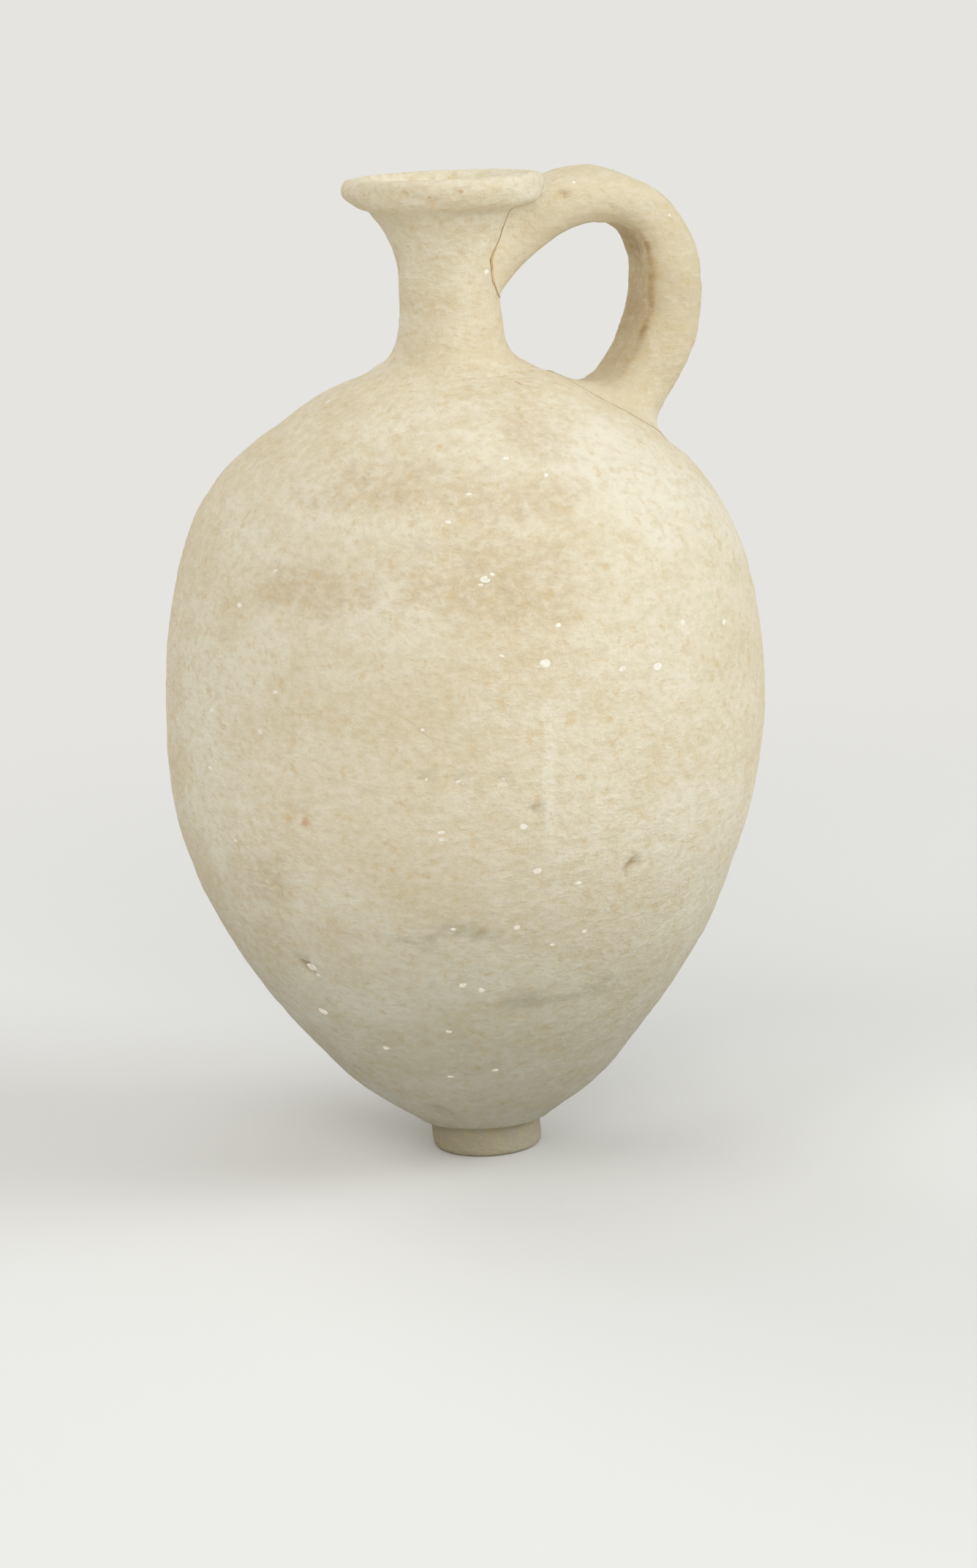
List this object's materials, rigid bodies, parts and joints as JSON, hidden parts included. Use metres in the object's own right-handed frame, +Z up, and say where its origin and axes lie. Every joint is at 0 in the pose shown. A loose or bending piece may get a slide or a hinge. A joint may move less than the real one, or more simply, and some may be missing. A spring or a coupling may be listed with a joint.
{
  "type": "juglet",
  "caption": "Small ovoid juglet of pale unglazed fired clay with a stub base, a narrow flared neck, a rolled lip and a strap handle from rim to shoulder.",
  "frame": {"origin": "centre of the flat underside of the stub base", "axes": "+Z up along the axis of the pot, +X from that axis towards the handle"},
  "size_m": [0.0932, 0.0932, 0.1528],
  "materials": {
    "clay": "matt unglazed buff fired clay, worn and flecked with lime grits",
    "base_clay": "matt unglazed fired clay, greyer and chipped",
    "handle_clay": "matt unglazed buff fired clay, smoothed by hand",
    "mend_fill": "thin brown filling in a mended break"
  },
  "bodies": {
    "root": {"base": "base_clay", "body": "clay", "neck": "clay", "rim": "clay", "handle": "handle_clay", "neck_mend": "mend_fill", "shoulder_mend": "mend_fill"}
  },
  "joints": []
}
